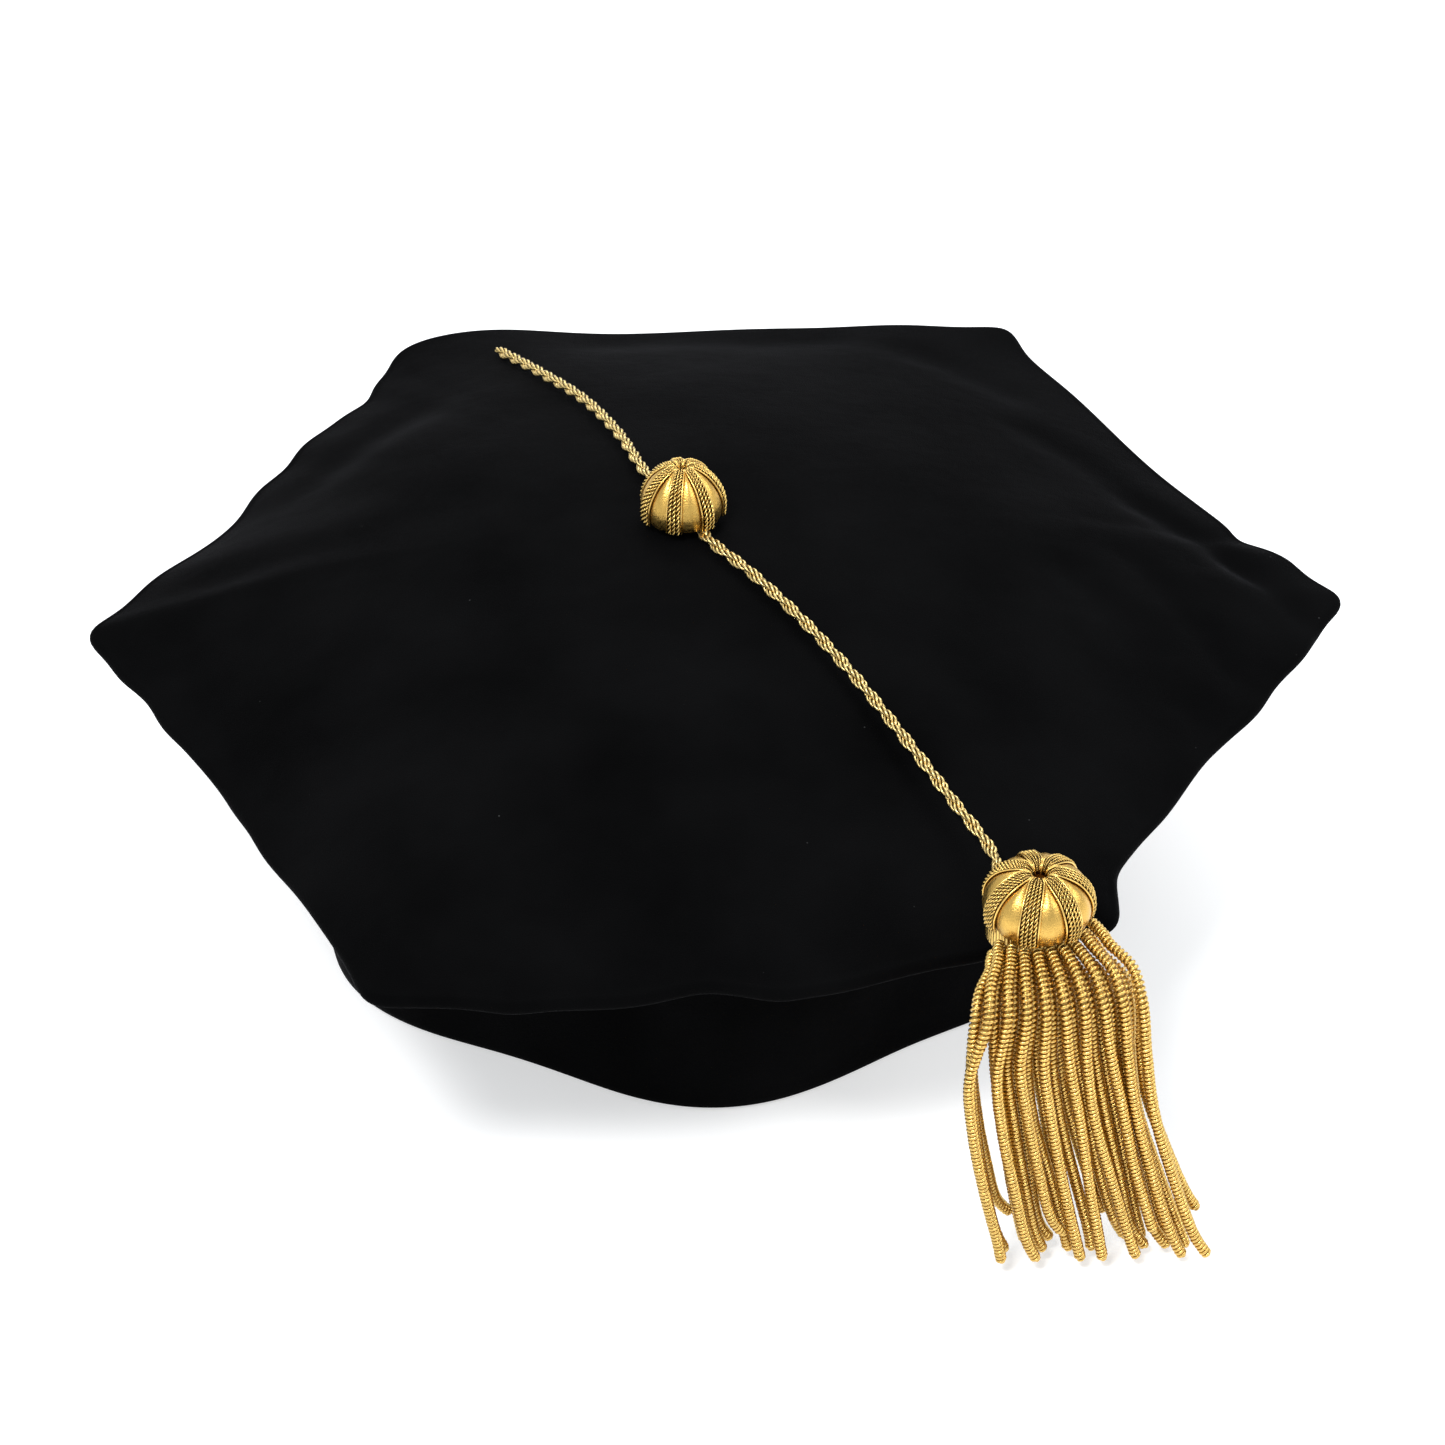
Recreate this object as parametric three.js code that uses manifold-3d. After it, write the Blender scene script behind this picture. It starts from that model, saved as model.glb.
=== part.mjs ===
// A doctoral graduation tam: a soft six-sided velvet crown on a headband, with a domed gold button,
// and a twisted cord under the button that carries a domed tassel with bullion strands.
// Millimetres, +Z up. The origin is below the middle of the hat, on the surface it stands on;
// +X runs to the hat's right-hand corner and the tassel hangs over the front-right corner.

import * as THREE from 'three';
import { mergeVertices } from 'three/addons/utils/BufferGeometryUtils.js';
import Module from 'manifold-3d';

const wasm = await Module();
wasm.setup();

const GAP = 0.3; // clearance between pieces that touch
const LAYER_GAP = 0.9; // clearance between the soft layers of the crown

// Crown outline: corners counter-clockwise from the right one, at the height of the edge seam.
const CORNERS = [
  new THREE.Vector3(154, 5, 73),
  new THREE.Vector3(85.5, 140.5, 75),
  new THREE.Vector3(-82.5, 139, 75.5),
  new THREE.Vector3(-154, 6, 73),
  new THREE.Vector3(-83, -137, 70.5),
  new THREE.Vector3(81, -124.5, 75.5),
];
const EDGE_BOW = [-5, 0, -6, -2.8, 6.6, -5]; // how far each edge's middle bows outwards
const EDGE_SAG = [0, -3, 0, 2, 5, 2]; // how far each edge's middle hangs below its corners
const SIXTH = Math.PI / 3;

// Dome of the crown, about the button's axis.
const BUTTON_X = -8.8;
const BUTTON_Y = 1.4;
const CROWN_TOP = 102.4;
const DOME_FOOT = 73.5; // height that the dome falls to at DOME_REACH
const DOME_REACH = 170;
const DOME_POWER = 1.5;
const THREAD_HOLE = 0.01; // the button thread's hole, as a share of the way out to the rim

// Cloth.
const VELVET = 1.2;
const INTERFACING = 1.5;
const LINING = 0.6;
const LINING_GAP = 1.7; // between the lining and the panels of the underside
const LINING_DEPTH = VELVET + INTERFACING + 2 * LAYER_GAP; // of the lining below the outer face
const CROWN_SEGMENTS = 36;
const CROWN_RINGS = [THREAD_HOLE, 0.2, 0.4, 0.6, 0.77, 0.9, 1]; // shares of the way out to the rim
const INNER_RINGS = CROWN_RINGS.slice(0, -1); // of the layers inside, which stop short of the rim

// Headband: a soft ring with six faint lobes.
const BAND_X = -4.5;
const BAND_Y = 2.5;
const BAND_RADIUS = 98;
const BAND_LOBE = 4;
const BAND_HEIGHT = 50;
const HEM_WIDTH = 4.4;
const HEM_HEIGHT = 14;
const STIFFENER = 1.1;
const SWEATBAND = 1;

// Button and tassel cap: the same domed shape in two sizes, each with seven braid strips.
const STRIPS = 7;
const STRIP_HALF_ANGLE = THREE.MathUtils.degToRad(12);
const DOME_SEGMENTS = 21;
const BUTTON_RADIUS = 10;
const BUTTON_BASE = 105.9;
const CAP_RADIUS = 12;
const CAP_BASE = 88;
const CAP_DISTANCE = 157.4; // from the button's axis
const BUTTON_TALL = 1.15; // height of the button, as a share of the common meridian's
const CAP_TALL = 0.88;
const CAP_TILT = THREE.MathUtils.degToRad(4); // towards the way the strands fan out
const BUTTON_FIRST_STRIP = THREE.MathUtils.degToRad(-104);
const CAP_FIRST_STRIP = THREE.MathUtils.degToRad(-106);
const SHANK_RADIUS = 0.9;
const ANCHOR_RADIUS = 8;
const ANCHOR_THICKNESS = 1.2;

// Cord, and the bullion strands that fan out from the heading under the cap.
const CORD_DIAMETER = 2.8;
const STRAND_DIAMETER = 2.6;
const TUBE_SIDES = 8;
const COLUMNS = 9;
const LAYERS = 3;
const TASSEL_BEARING = THREE.MathUtils.degToRad(-63); // of the cap, from the button
const FAN_BEARING = THREE.MathUtils.degToRad(-80); // way that the strands leave the cap
const HEADING_RADIUS = 9;
const HEADING_BACK = 3.5; // how far the heading lies behind the middle of the cap
const HEADING_LOW = 79.2;
const HEADING_HIGH = 86.6;
const BEND_OUT = 10; // centre of the bend that the strands take over the corner
const BEND_HEIGHT = 70.5;
const BEND_RADIUS = 7.9; // of the lowest layer
const STRAND_PITCH = 2.95;
const SPREAD = 1.58; // how much the strands spread sideways over the bend
const LAYER_STEP = 3.3;
const LAYER_SHIFT = [-0.9, 0, 0.9]; // how far each layer is set to the side

const velvet = new THREE.MeshStandardMaterial({ color: 0x08080a, roughness: 0.95 });
const lining = new THREE.MeshStandardMaterial({ color: 0x101014, roughness: 0.5 });
const buckram = new THREE.MeshStandardMaterial({ color: 0xd8d2c4, roughness: 0.9 });
const leather = new THREE.MeshStandardMaterial({ color: 0x1a1614, roughness: 0.6 });
const mould = new THREE.MeshStandardMaterial({ color: 0xb08d57, roughness: 0.8 });
const satin = new THREE.MeshStandardMaterial({ color: 0xb8862e, roughness: 0.4, metalness: 0.6 });
const braid = new THREE.MeshStandardMaterial({ color: 0xd0a548, roughness: 0.35, metalness: 0.8 });

const hat = new THREE.Group();

function addPiece(name, geometry, material, parent = hat) {
  const mesh = new THREE.Mesh(geometry, material);
  mesh.name = name;
  parent.add(mesh);
}

// Six times the signed volume of a closed mesh: negative when its faces point in.
function signedVolume(geometry) {
  const [a, b, c] = [new THREE.Vector3(), new THREE.Vector3(), new THREE.Vector3()];
  const { position } = geometry.attributes;
  let sum = 0;
  for (let i = 0; i < geometry.index.count; i += 3) {
    a.fromBufferAttribute(position, geometry.index.getX(i));
    b.fromBufferAttribute(position, geometry.index.getX(i + 1));
    c.fromBufferAttribute(position, geometry.index.getX(i + 2));
    sum += a.dot(b.cross(c));
  }
  return sum;
}

// Joins shared vertices, moves each one by place, drops flat triangles and turns the faces out.
function shaped(geometry, place = (point) => point) {
  geometry.deleteAttribute('normal');
  geometry.deleteAttribute('uv');
  const merged = mergeVertices(geometry);
  const { position } = merged.attributes;
  for (let i = 0; i < position.count; i += 1) {
    const point = place(new THREE.Vector3().fromBufferAttribute(position, i));
    position.setXYZ(i, point.x, point.y, point.z);
  }
  const kept = [];
  for (let i = 0; i < merged.index.count; i += 3) {
    const corners = [0, 1, 2].map((k) => merged.index.getX(i + k));
    if (new Set(corners).size === 3) kept.push(corners);
  }
  merged.setIndex(kept.flat());
  if (signedVolume(merged) < 0) merged.setIndex(kept.map(([i, j, k]) => [i, k, j]).flat());
  merged.computeVertexNormals();
  return merged;
}

// A body turned about Z from an outline of [radius, height] pairs.
function turned(outline, segments) {
  const points = outline.map(([radius, height]) => new THREE.Vector2(radius, height));
  return new THREE.LatheGeometry(points, segments).rotateX(Math.PI / 2);
}

// A ring outline between two heights, with a point at each radius, closed on itself.
function ringOutline(radii, low, high) {
  const under = radii.map((radius) => [radius, low]);
  const over = radii.map((radius) => [radius, high]).reverse();
  return [...under, ...over, under[0]];
}

function evenSteps(first, last, steps) {
  return Array.from({ length: steps + 1 }, (_, i) => first + ((last - first) * i) / steps);
}

// A point of the seam around the crown, for an azimuth in which the corners lie 60 degrees apart.
function rimPoint(azimuth) {
  const turn = (azimuth / SIXTH + 6 + 1e-6) % 6;
  const side = Math.floor(turn);
  const share = Math.max(0, turn - side - 1e-6);
  const point = CORNERS[side].clone().lerp(CORNERS[(side + 1) % 6], share);
  const middle = 4 * share * (1 - share);
  const outwards = (side + 0.5) * SIXTH;
  point.x += EDGE_BOW[side] * middle * Math.cos(outwards);
  point.y += EDGE_BOW[side] * middle * Math.sin(outwards);
  point.z -= EDGE_SAG[side] * middle;
  return point;
}

// Height of the dome at a distance from the button's axis. Nothing of the crown rises above it by
// more than its clearance to the cord, so the cord can turn all the way round.
function domeHeight(distance) {
  const rise = Math.max(0, 1 - (distance / DOME_REACH) ** 2) ** DOME_POWER;
  return DOME_FOOT + (CROWN_TOP - DOME_FOOT) * rise;
}

function distanceFromButton(point) {
  return Math.hypot(point.x - BUTTON_X, point.y - BUTTON_Y);
}

// A point of the crown: share 0 at the button and 1 at the rim, depth below the outer face.
function crownPoint(share, azimuth, depth) {
  const rim = rimPoint(azimuth);
  const drop = (domeHeight(distanceFromButton(rim)) - rim.z) * share ** 4;
  const point = new THREE.Vector3(BUTTON_X, BUTTON_Y, 0).lerp(rim, share);
  point.z = domeHeight(distanceFromButton(point)) - drop - depth;
  return point;
}

function crownLayer(name, material, top, thickness, rings) {
  const outline = ringOutline(rings, -top - thickness, -top);
  const place = (p) => crownPoint(Math.hypot(p.x, p.y), Math.atan2(p.y, p.x), -p.z);
  addPiece(name, shaped(turned(outline, CROWN_SEGMENTS), place), material);
}

// A point of the headband: how far in from its outer face, and the height.
function bandPoint(azimuth, inset, height) {
  const lobe = BAND_LOBE * Math.cos(6 * (azimuth + Math.PI / 2));
  const radius = BAND_RADIUS + lobe - inset;
  const x = BAND_X + radius * Math.cos(azimuth);
  const y = BAND_Y + radius * Math.sin(azimuth);
  return new THREE.Vector3(x, y, height);
}

// A point of the underside: share 0 at the rim and 1 at the headband, lift in cloth thicknesses.
function undersidePoint(azimuth, share, lift) {
  const rim = rimPoint(azimuth);
  rim.z -= 2 * VELVET + GAP;
  const band = bandPoint(azimuth, -GAP - 0.1, BAND_HEIGHT - VELVET - GAP);
  const point = rim.lerp(band, share);
  point.z += lift * VELVET - 3 * Math.sin(Math.PI * share);
  return point;
}

function undersidePanel(name, side) {
  const seam = THREE.MathUtils.degToRad(0.12);
  const place = (p) => {
    const azimuth = side * SIXTH + seam + (p.x + 0.5) * (SIXTH - 2 * seam);
    return undersidePoint(azimuth, p.y + 0.5, p.z + 0.5);
  };
  addPiece(name, shaped(new THREE.BoxGeometry(1, 1, 1, 6, 3, 1), place), velvet);
}

function undersideLining() {
  const shares = [0.15, 1 / 3, 2 / 3, 1];
  const low = 1 + LINING_GAP / VELVET;
  const outline = ringOutline(shares, low, low + LINING / VELVET);
  const place = (p) => undersidePoint(Math.atan2(p.y, p.x), Math.hypot(p.x, p.y), p.z);
  addPiece('lining_side', shaped(turned(outline, 3 * CROWN_SEGMENTS), place), lining);
}

// A ring of the headband from an outline of [inset, height] pairs.
function bandRing(name, outline, material) {
  const turnedOutline = outline.map(([inset, height]) => [BAND_RADIUS - inset, height]);
  const place = (p) => bandPoint(Math.atan2(p.y, p.x), BAND_RADIUS - Math.hypot(p.x, p.y), p.z);
  addPiece(name, shaped(turned(turnedOutline, CROWN_SEGMENTS), place), material);
}

function headband() {
  const inside = HEM_WIDTH - VELVET;
  const hem = [
    [0, 0], [0, BAND_HEIGHT], [VELVET, BAND_HEIGHT], [VELVET, VELVET],
    [inside, VELVET], [inside, HEM_HEIGHT], [HEM_WIDTH, HEM_HEIGHT], [HEM_WIDTH, 0], [0, 0],
  ];
  bandRing('headband_velvet', hem, velvet);
  const stiff = VELVET + GAP;
  bandRing('headband_stiffener', ringOutline([stiff, stiff + STIFFENER], 1.6, 48), buckram);
  const sweat = HEM_WIDTH + GAP;
  bandRing('sweatband', ringOutline([sweat, sweat + SWEATBAND], 2, 46), leather);
}

// An elastic strip at the back, above the hem, between the stiffener and the sweatband.
function backElastic() {
  const first = VELVET + GAP + STIFFENER + GAP;
  const thickness = HEM_WIDTH - first;
  const place = (p) => {
    const azimuth = Math.PI / 2 - p.x * SIXTH;
    return bandPoint(azimuth, first + (0.5 - p.z) * thickness, 30 + 26 * p.y);
  };
  const flat = new THREE.BoxGeometry(1, 1, 1, 6, 1, 1);
  addPiece('back_elastic', shaped(flat, place), lining);
}

// The dome's meridian as shares of its radius, from the rim to the puckered top.
const MERIDIAN = new THREE.CatmullRomCurve3([
  new THREE.Vector3(0.97, 0, 0), new THREE.Vector3(1, 0.3, 0), new THREE.Vector3(0.93, 0.6, 0),
  new THREE.Vector3(0.76, 0.88, 0), new THREE.Vector3(0.5, 1.07, 0),
  new THREE.Vector3(0.25, 1.13, 0), new THREE.Vector3(0.1, 1.05, 0),
]);

// A point of a dome: share 0 at the rim and 1 at the pucker, raised off its surface.
function domePoint({ radius, tall }, share, azimuth, raised) {
  const t = THREE.MathUtils.clamp(share, 0, 1);
  const on = MERIDIAN.getPoint(t);
  const along = MERIDIAN.getTangent(t);
  const out = radius * on.x + raised * along.y;
  const height = radius * tall * on.y - raised * along.x;
  return new THREE.Vector3(out * Math.cos(azimuth), out * Math.sin(azimuth), height);
}

function domeShell(dome, low, high) {
  const outline = ringOutline(evenSteps(1, 2, 6), low, high);
  const place = (p) => domePoint(dome, Math.hypot(p.x, p.y) - 1, Math.atan2(p.y, p.x), p.z);
  return shaped(turned(outline, DOME_SEGMENTS), place);
}

function solidOf(geometry) {
  const vertProperties = new Float32Array(geometry.attributes.position.array);
  const triVerts = new Uint32Array(geometry.index.array);
  return new wasm.Manifold(new wasm.Mesh({ numProp: 3, vertProperties, triVerts }));
}

function geometryOf(solid) {
  const mesh = solid.getMesh();
  const geometry = new THREE.BufferGeometry();
  geometry.setAttribute('position', new THREE.BufferAttribute(mesh.vertProperties, 3));
  geometry.setIndex(Array.from(mesh.triVerts));
  geometry.computeVertexNormals();
  return geometry;
}

// Seven braid strips that run down the dome from a collar round the pucker.
function braidStrips(dome, first) {
  const low = 0.25;
  const high = 0.8;
  const collarOutline = ringOutline([0.9, 1], low, high);
  const collarPlace = (p) => domePoint(dome, Math.hypot(p.x, p.y), Math.atan2(p.y, p.x), p.z);
  let solid = solidOf(shaped(turned(collarOutline, DOME_SEGMENTS), collarPlace));
  for (let i = 0; i < STRIPS; i += 1) {
    const middle = first + (i * 2 * Math.PI) / STRIPS;
    const place = (p) => {
      const azimuth = middle + 2 * p.x * STRIP_HALF_ANGLE;
      const raised = (low + high) / 2 + p.z * (high - low - 0.02);
      return domePoint(dome, 0.95 * (p.y + 0.5), azimuth, raised);
    };
    const strip = shaped(new THREE.BoxGeometry(1, 1, 1, 2, 6, 1), place);
    solid = solid.add(solidOf(strip));
  }
  return geometryOf(solid);
}

// The filled mould inside the cover: flat below, and cut off flat under the pucker.
function domeMould(dome) {
  const inset = -1.6;
  const outline = [[0, 0]];
  for (let i = 0; i <= 6; i += 1) {
    const point = domePoint(dome, (0.5 * i) / 6, 0, inset);
    outline.push([point.x, Math.max(0, point.z)]);
  }
  outline.push([0, outline[outline.length - 1][1]]);
  return shaped(turned(outline, DOME_SEGMENTS));
}

function domedOrnament(prefix, dome, first, position, tilt = 0) {
  const group = new THREE.Group();
  group.position.copy(position);
  const tiltAxis = new THREE.Vector3(-Math.sin(FAN_BEARING), Math.cos(FAN_BEARING), 0);
  group.quaternion.setFromAxisAngle(tiltAxis, tilt);
  addPiece(`${prefix}_mould`, domeMould(dome), mould, group);
  addPiece(`${prefix}_satin_cover`, domeShell(dome, -0.75, -0.2), satin, group);
  addPiece(`${prefix}_braid_strips`, braidStrips(dome, first), braid, group);
  hat.add(group);
}

function buttonThread() {
  const underLining = CROWN_TOP - LINING_DEPTH - LINING - GAP;
  const top = BUTTON_BASE - GAP;
  const length = top - underLining;
  const thread = shaped(new THREE.CylinderGeometry(SHANK_RADIUS, SHANK_RADIUS, length, 10));
  thread.rotateX(Math.PI / 2).translate(BUTTON_X, BUTTON_Y, underLining + length / 2);
  addPiece('button_thread', thread, braid);
  const disc = new THREE.CylinderGeometry(ANCHOR_RADIUS, ANCHOR_RADIUS, ANCHOR_THICKNESS, 20);
  const anchor = shaped(disc).rotateX(Math.PI / 2);
  anchor.translate(BUTTON_X, BUTTON_Y, underLining - GAP - ANCHOR_THICKNESS / 2);
  addPiece('button_anchor_disc', anchor, buckram);
}

function tube(points, diameter, steps) {
  const section = new THREE.Shape();
  for (let i = 0; i < TUBE_SIDES; i += 1) {
    const angle = (2 * Math.PI * i) / TUBE_SIDES;
    const [x, y] = [(diameter / 2) * Math.cos(angle), (diameter / 2) * Math.sin(angle)];
    if (i === 0) section.moveTo(x, y);
    else section.lineTo(x, y);
  }
  const extrudePath = new THREE.CatmullRomCurve3(points, false, 'centripetal');
  return shaped(new THREE.ExtrudeGeometry(section, { steps, extrudePath, bevelEnabled: false }));
}

// The cord's route over the crown: [x, y, height above the dome], from its free end to the cap.
const CORD_ROUTE = [
  [-54, 120.5, 2], [-43, 97, 2], [-31.5, 71, 2], [-23, 45.5, 2], [-16.8, 22, 2],
  [-11.5, 10.8, 1.8], [-6.1, 2.8, 1.8], [-3.4, -8.5, 1.8], [6.8, -24, 2], [18, -41.5, 2],
  [28.5, -59.5, 2], [38.7, -78.5, 2], [48.3, -96.8, 2.1], [55.7, -111.5, 2.7],
];
const CORD_END_DISTANCE = 144;
const CORD_END_HEIGHT = 82.3;

function tasselCord() {
  const points = CORD_ROUTE.map(([x, y, above]) => {
    const point = new THREE.Vector3(x, y, 0);
    point.z = domeHeight(distanceFromButton(point)) + above;
    return point;
  });
  points.push(tasselPoint(CORD_END_DISTANCE, CORD_END_HEIGHT));
  addPiece('tassel_cord', tube(points, CORD_DIAMETER, 40), braid);
}

// A point on the tassel's bearing, by its distance from the button's axis and its height.
function tasselPoint(distance, height) {
  const x = BUTTON_X + distance * Math.cos(TASSEL_BEARING);
  const y = BUTTON_Y + distance * Math.sin(TASSEL_BEARING);
  return new THREE.Vector3(x, y, height);
}

// A point of the fan of strands: how far out from the middle of the cap, how far to the side,
// counter-clockwise, and its height.
function fanPoint(out, aside, height) {
  const [cos, sin] = [Math.cos(FAN_BEARING), Math.sin(FAN_BEARING)];
  const point = tasselPoint(CAP_DISTANCE, height);
  point.x += out * cos - aside * sin;
  point.y += out * sin + aside * cos;
  return point;
}

// The rolled tape that the strands are sewn to, under the cap.
function fringeHeading() {
  const length = HEADING_HIGH - HEADING_LOW;
  const roll = new THREE.CylinderGeometry(HEADING_RADIUS, HEADING_RADIUS, length, 18);
  const middle = tasselPoint(CAP_DISTANCE - HEADING_BACK, (HEADING_LOW + HEADING_HIGH) / 2);
  const heading = shaped(roll).rotateX(Math.PI / 2);
  addPiece('fringe_heading', heading.translate(middle.x, middle.y, middle.z), braid);
}

// One strand: out of the heading, over the corner in a bend, and down to just above the ground.
function strand(column, layer) {
  const place = column - (COLUMNS - 1) / 2;
  const across = column / (COLUMNS - 1);
  const radius = BEND_RADIUS + LAYER_STEP * layer;
  const top = BEND_HEIGHT + radius;
  const topAside = STRAND_PITCH * place + LAYER_SHIFT[layer];
  const tipAside = 13.3 + 5.4 * place + (0.8 + 0.4 * across) * LAYER_SHIFT[layer];
  const tipOut = 11.5 + 3.6 * layer + 0.13 * (tipAside + 10);
  const short = (7 * column + 5 * layer) % 4 === 0;
  const raised = (short ? 8 : 0) + 0.3 * (COLUMNS - 1 - column);
  const tipHeight = STRAND_DIAMETER / 2 + 0.3 + raised;
  const bulge = -2.6 * (1 - across) ** 2 - 2 * across ** 2;
  const clear = HEADING_RADIUS + STRAND_DIAMETER / 2 + 2 * GAP;
  const round = Math.sqrt(Math.max(0, clear ** 2 - topAside ** 2)) - HEADING_BACK + 1;
  const start = Math.max(1, round) + 0.2 * place ** 2;
  const points = [fanPoint(start, topAside, top), fanPoint((start + BEND_OUT) / 2, topAside, top)];
  for (const degrees of [0, 30, 60]) {
    const turn = THREE.MathUtils.degToRad(degrees);
    const out = BEND_OUT + radius * Math.sin(turn);
    const aside = topAside * (1 + (SPREAD - 1) * (degrees / 90));
    points.push(fanPoint(out, aside, BEND_HEIGHT + radius * Math.cos(turn)));
  }
  const bendOut = BEND_OUT + radius;
  const bendAside = topAside * SPREAD;
  for (const share of [0.1, 0.35, 0.65, 1]) {
    const height = BEND_HEIGHT + (tipHeight - BEND_HEIGHT) * share;
    const sway = bulge * Math.sin(Math.PI * share ** 0.7);
    const aside = bendAside + (tipAside - bendAside) * share + sway;
    points.push(fanPoint(bendOut + (tipOut - bendOut) * share ** 1.5, aside, height));
  }
  return tube(points, STRAND_DIAMETER, 12);
}

crownLayer('crown_top', velvet, 0, VELVET, CROWN_RINGS);
crownLayer('crown_interfacing', buckram, VELVET + LAYER_GAP, INTERFACING, INNER_RINGS);
crownLayer('lining_top', lining, LINING_DEPTH, LINING, INNER_RINGS);
const SIDES = ['back_right', 'back', 'back_left', 'front_left', 'front', 'front_right'];
SIDES.forEach((place, side) => undersidePanel(`crown_side_${place}`, side));
undersideLining();
headband();
backElastic();
const buttonDome = { radius: BUTTON_RADIUS, tall: BUTTON_TALL };
const buttonPosition = new THREE.Vector3(BUTTON_X, BUTTON_Y, BUTTON_BASE);
domedOrnament('button', buttonDome, BUTTON_FIRST_STRIP, buttonPosition);
buttonThread();
const capPosition = tasselPoint(CAP_DISTANCE, CAP_BASE);
const capDome = { radius: CAP_RADIUS, tall: CAP_TALL };
domedOrnament('tassel_cap', capDome, CAP_FIRST_STRIP, capPosition, CAP_TILT);
tasselCord();
fringeHeading();
for (let layer = 0; layer < LAYERS; layer += 1) {
  for (let column = 0; column < COLUMNS; column += 1) {
    const number = String(1 + layer * COLUMNS + column).padStart(2, '0');
    addPiece(`bullion_strand_${number}`, strand(column, layer), braid);
  }
}

export default hat;
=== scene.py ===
"""A six-sided doctoral graduation tam: black velvet crown and headband, domed gold button, and a
two-strand gold cord that carries a domed cap with a fringe of bullion strands.

Shapes are worked out in millimetres in the frame's own axes and made in metres."""

import math

import bpy
import numpy as np
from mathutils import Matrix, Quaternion, Vector


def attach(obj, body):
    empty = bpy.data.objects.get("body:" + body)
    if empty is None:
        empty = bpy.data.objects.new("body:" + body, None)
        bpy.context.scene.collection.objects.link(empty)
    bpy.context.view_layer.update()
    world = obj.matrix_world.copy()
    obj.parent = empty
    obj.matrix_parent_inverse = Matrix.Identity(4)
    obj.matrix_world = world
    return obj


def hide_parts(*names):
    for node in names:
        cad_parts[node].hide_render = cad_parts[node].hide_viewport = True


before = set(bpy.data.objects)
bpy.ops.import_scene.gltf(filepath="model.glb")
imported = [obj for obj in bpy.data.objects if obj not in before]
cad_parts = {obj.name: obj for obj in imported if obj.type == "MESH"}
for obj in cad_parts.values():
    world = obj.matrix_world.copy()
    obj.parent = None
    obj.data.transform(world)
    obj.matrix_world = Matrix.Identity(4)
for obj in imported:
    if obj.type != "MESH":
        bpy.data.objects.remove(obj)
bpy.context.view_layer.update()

MM = 0.001
UP = np.array([0.0, 0.0, 1.0])

# ---------------------------------------------------------------- sizes, in millimetres

# The crown's outline: corners counter-clockwise from the right one, at the height of the edge seam.
CORNERS = np.array([
    (154, 5, 73), (85.5, 140.5, 75), (-82.5, 139, 75.5),
    (-154, 6, 73), (-83, -137, 70.5), (81, -124.5, 75.5),
], float)
EDGE_BOW = np.array([-5, 0, -6, -2.8, 6.6, -5])  # how far each side's middle stands out
EDGE_SAG = np.array([0, -3, 0, 2, 5, 2])  # how far each side's middle hangs down
CORNER_REACH = np.array([3.4, 3.4, 3.4, 3.2, 2.2, 1.6])  # how far the sewn corners stand out
# Soft dents and swells along the edge: place (corner number plus share of the way to the next one),
# half width in the same terms, how far outwards, how far up.
EDGE_SWELLS = [
    (0.13, 0.06, 2.2, 0.4), (0.22, 0.035, -1.6, 0.0), (0.72, 0.16, 1.6, 0.6),
    (1.16, 0.12, 1.2, 0.9), (1.5, 0.3, 0.0, 0.3), (1.86, 0.14, 2.8, 2.0),
    (2.08, 0.06, -2.2, 0.0), (2.18, 0.05, -2.8, 0.0), (2.36, 0.07, 3.0, 0.0),
    (2.51, 0.08, 3.2, 0.0), (2.83, 0.1, 3.0, 0.0), (3.11, 0.06, 2.0, 0.0),
    (3.25, 0.05, 1.2, 0.0), (3.42, 0.06, -1.0, 0.0), (3.62, 0.06, 1.0, 0.0),
    (4.44, 0.06, -4.0, 0.8), (4.62, 0.08, 1.2, -0.6), (4.99, 0.04, 1.5, 0.0),
    (5.12, 0.06, -2.2, 0.0), (5.2, 0.09, -2.4, 0.0), (5.65, 0.11, 3.6, 0.0),
    (5.84, 0.1, 3.5, 0.0),
]
RIM_COUNT = 720
EDGE_ROLL = 2.0  # radius of the rolled edge of the crown
SIDES = ["back_right", "back", "back_left", "front_left", "front", "front_right"]

BUTTON = np.array([-8.8, 1.4])
# The crown's dome, round about the button: its top, its foot, its reach and how steeply it falls.
CROWN_TOP, DOME_FOOT, DOME_REACH, DOME_POWER = 102.4, 73.5, 170, 1.5

# Thicknesses, and the spaces between the layers.
VELVET, INTERFACING, LINING, ELASTIC = 1.2, 1.4, 0.6, 1.1
GAP, LAYER_GAP, LINING_DEPTH = 0.3, 0.9, 4.5
VELVET_EDGE_DROP, LINING_EDGE_DROP = 3.9, 0.5  # from the edge seam down to the underside's layers
LINING_BAND_RISE = 3.1  # how much higher than the velvet the side lining meets the headband

BAND = np.array([-4.5, 2.5])
BAND_RADIUS, BAND_LOBE, BAND_HEIGHT = 98, 4, 50
STITCH_STEP, STITCH_SPAN = 1.8, 1.15  # degrees round the band
STITCH_RADIUS = 0.22

# The button and the tassel's cap: radius of the satin, height as a share of the meridian's, and how
# much the shoulders draw in.
BUTTON_DOME, CAP_DOME = (9.7, 1.14, 0.14), (11.6, 0.83, 0)
BUTTON_BASE, CAP_BASE, CAP_DISTANCE, CAP_TILT = 105.2, 88, 157.4, math.radians(4)
BUTTON_FIRST_STRIP, CAP_FIRST_STRIP = math.radians(-104), math.radians(-106)
STRIPS, STRIP_WIDTH = 7, 0.385  # width of a strip at the rim, as a share of the radius
SEVENTH = math.pi / STRIPS  # half the angle from one strip to the next
BRAID_PITCH, EDGE_CORD_RADIUS, BACKING = 2.3, 0.23, 0.15

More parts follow.
